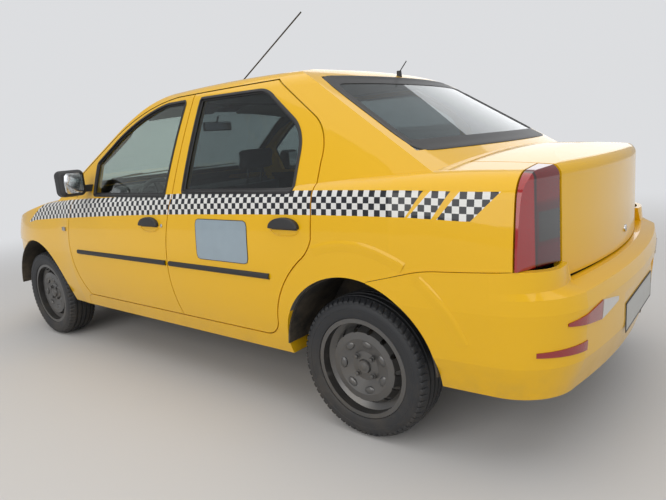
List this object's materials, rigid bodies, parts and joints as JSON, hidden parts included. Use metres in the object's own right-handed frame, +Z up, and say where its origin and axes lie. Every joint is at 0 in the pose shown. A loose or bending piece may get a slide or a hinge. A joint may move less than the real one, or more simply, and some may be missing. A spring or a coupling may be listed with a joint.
{
  "type": "four-door taxi saloon",
  "caption": "Small yellow four-door saloon taxi with a checker stripe, opening doors and lids, turning wheels and steering.",
  "frame": {"origin": "on the ground under the centre of the bounding box", "axes": "+Z up, front towards -Y, the car's left side towards +X"},
  "size_m": [1.97, 4.2, 1.8725],
  "materials": {
    "yellow_paint": "glossy clearcoat over yellow paint, dusty low down",
    "side_glass": "clear, faintly green",
    "screen_glass": "clear, faintly green",
    "lamp_clear": "clear gloss",
    "lamp_red": "red gloss",
    "black_plastic": "black grained plastic",
    "liner_plastic": "black, dusty",
    "underbody_steel": "black underseal, dusty",
    "cast_metal": "bare cast metal",
    "exhaust_steel": "dull steel",
    "wheel_steel": "dark grey painted steel, dusty",
    "tyre_rubber": "black rubber, dusty",
    "seat_cloth": "dark grey woven cloth",
    "plate_metal": "blank pale enamel"
  },
  "bodies": {
    "shell": {"body_frame": "yellow_paint", "wings": "yellow_paint", "front_bumper": "yellow_paint", "rear_bumper": "yellow_paint", "screens": "screen_glass", "headlamps": "lamp_clear", "tail_lamps": "lamp_red", "grille": "black_plastic", "aerials": "black_plastic", "steering_column": "black_plastic", "dashboard": "black_plastic", "liners": "liner_plastic", "floor_pan": "underbody_steel", "bulkhead": "underbody_steel", "front_frame": "underbody_steel", "seat_rails": "underbody_steel", "front_suspension": "underbody_steel", "rear_axle": "underbody_steel", "fuel_tank": "underbody_steel", "engine": "cast_metal", "exhaust": "exhaust_steel", "front_seats": "seat_cloth", "rear_seat": "seat_cloth", "plates": "plate_metal"},
    "front_door_left": {"front_door_left": "yellow_paint", "front_door_glass_left": "side_glass", "front_door_trim_left": "black_plastic", "mirror_left": "black_plastic"},
    "front_wheel_left": {"front_rim_left": "wheel_steel", "front_tyre_left": "tyre_rubber"},
    "front_door_right": {"front_door_right": "yellow_paint", "front_door_glass_right": "side_glass", "front_door_trim_right": "black_plastic", "mirror_right": "black_plastic"},
    "front_wheel_right": {"front_rim_right": "wheel_steel", "front_tyre_right": "tyre_rubber"},
    "rear_door_left": {"rear_door_left": "yellow_paint", "rear_door_glass_left": "side_glass", "rear_door_trim_left": "black_plastic"},
    "rear_wheel_left": {"rear_rim_left": "wheel_steel", "rear_tyre_left": "tyre_rubber"},
    "rear_door_right": {"rear_door_right": "yellow_paint", "rear_door_glass_right": "side_glass", "rear_door_trim_right": "black_plastic"},
    "rear_wheel_right": {"rear_rim_right": "wheel_steel", "rear_tyre_right": "tyre_rubber"},
    "knuckle_left": {"knuckle_left": "cast_metal"},
    "knuckle_right": {"knuckle_right": "cast_metal"},
    "bonnet": {"bonnet": "yellow_paint"},
    "boot_lid": {"boot_lid": "yellow_paint"},
    "steering_wheel": {"steering_wheel": "black_plastic"}
  },
  "joints": [
    {"name": "front_door_left_hinge", "type": "hinge", "parent": "shell", "child": "front_door_left", "pos_m": [0.868, -0.815, 0.65], "axis": [0, 0, -1], "range_deg": [0, 70]},
    {"name": "rear_door_left_hinge", "type": "hinge", "parent": "shell", "child": "rear_door_left", "pos_m": [0.868, 0.175, 0.65], "axis": [0, 0, -1], "range_deg": [0, 68]},
    {"name": "steer_left", "type": "hinge", "parent": "shell", "child": "knuckle_left", "pos_m": [0.675, -1.375, 0.19], "axis": [-0.1261, 0, 0.992], "range_deg": [-36, 36]},
    {"name": "front_wheel_left_spin", "type": "hinge", "parent": "knuckle_left", "child": "front_wheel_left", "pos_m": [0.728, -1.375, 0.291], "axis": [1, 0, 0], "continuous": true},
    {"name": "rear_wheel_left_spin", "type": "hinge", "parent": "shell", "child": "rear_wheel_left", "pos_m": [0.728, 1.255, 0.291], "axis": [1, 0, 0], "continuous": true},
    {"name": "front_door_right_hinge", "type": "hinge", "parent": "shell", "child": "front_door_right", "pos_m": [-0.868, -0.815, 0.65], "axis": [0, 0, 1], "range_deg": [0, 70]},
    {"name": "rear_door_right_hinge", "type": "hinge", "parent": "shell", "child": "rear_door_right", "pos_m": [-0.868, 0.175, 0.65], "axis": [0, 0, 1], "range_deg": [0, 68]},
    {"name": "steer_right", "type": "hinge", "parent": "shell", "child": "knuckle_right", "pos_m": [-0.675, -1.375, 0.19], "axis": [0.1261, 0, 0.992], "range_deg": [-36, 36]},
    {"name": "front_wheel_right_spin", "type": "hinge", "parent": "knuckle_right", "child": "front_wheel_right", "pos_m": [-0.728, -1.375, 0.291], "axis": [1, 0, 0], "continuous": true},
    {"name": "rear_wheel_right_spin", "type": "hinge", "parent": "shell", "child": "rear_wheel_right", "pos_m": [-0.728, 1.255, 0.291], "axis": [1, 0, 0], "continuous": true},
    {"name": "bonnet_hinge", "type": "hinge", "parent": "shell", "child": "bonnet", "pos_m": [0, -1.08, 0.985], "axis": [-1, 0, 0], "range_deg": [0, 55]},
    {"name": "boot_lid_hinge", "type": "hinge", "parent": "shell", "child": "boot_lid", "pos_m": [0, 1.655, 1.088], "axis": [1, 0, 0], "range_deg": [0, 75]},
    {"name": "steering_wheel_turn", "type": "hinge", "parent": "shell", "child": "steering_wheel", "pos_m": [0.37, -0.505, 0.85], "axis": [0, 0.8988, 0.4384], "range_deg": [-540, 540]}
  ],
  "couplings": [
    {"joint": "steer_right", "follows": "steer_left", "ratio": 1},
    {"joint": "steering_wheel_turn", "follows": "steer_left", "ratio": 15}
  ]
}
